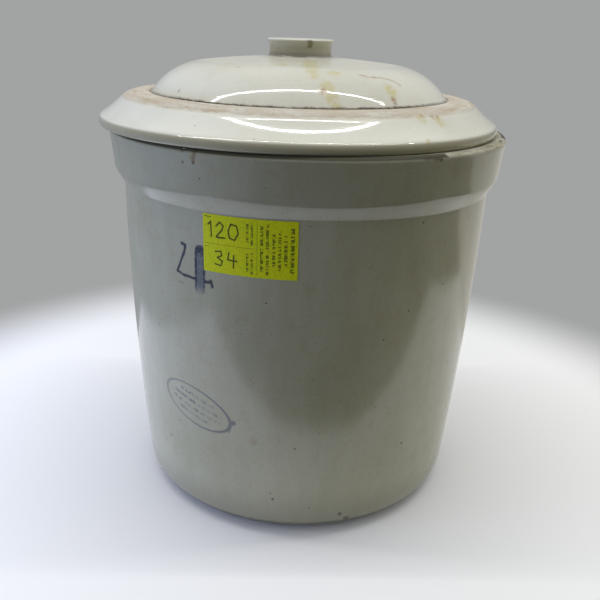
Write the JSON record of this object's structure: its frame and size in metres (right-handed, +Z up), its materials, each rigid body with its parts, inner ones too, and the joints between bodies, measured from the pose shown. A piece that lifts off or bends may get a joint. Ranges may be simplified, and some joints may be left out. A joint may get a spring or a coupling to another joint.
{
  "type": "lidded stoneware crock",
  "caption": "Heavy glazed stoneware storage crock with a standing rim band and a loose domed lid that lifts straight off by its flat round knob.",
  "frame": {"origin": "centre of the crock's flat underside, on the surface it stands on", "axes": "+Z up along the crock's axis, -Y towards its front (the labelled side), +X to the right seen from the front"},
  "size_m": [0.3151, 0.3096, 0.3604],
  "materials": {
    "crock_glaze": "glossy pale grey stoneware glaze with iron specks",
    "lid_glaze": "glossy warm white glaze with brown stains and one unglazed sandy band",
    "label_paper": "matt bright yellow paper"
  },
  "bodies": {
    "crock": {"crock_body": "crock_glaze", "paper_label": "label_paper"},
    "lid": {"lid": "lid_glaze"}
  },
  "joints": [
    {"name": "lid_lift", "type": "slide", "parent": "crock", "child": "lid", "axis": [0, 0, 1], "range_m": [0, 0.3]}
  ]
}
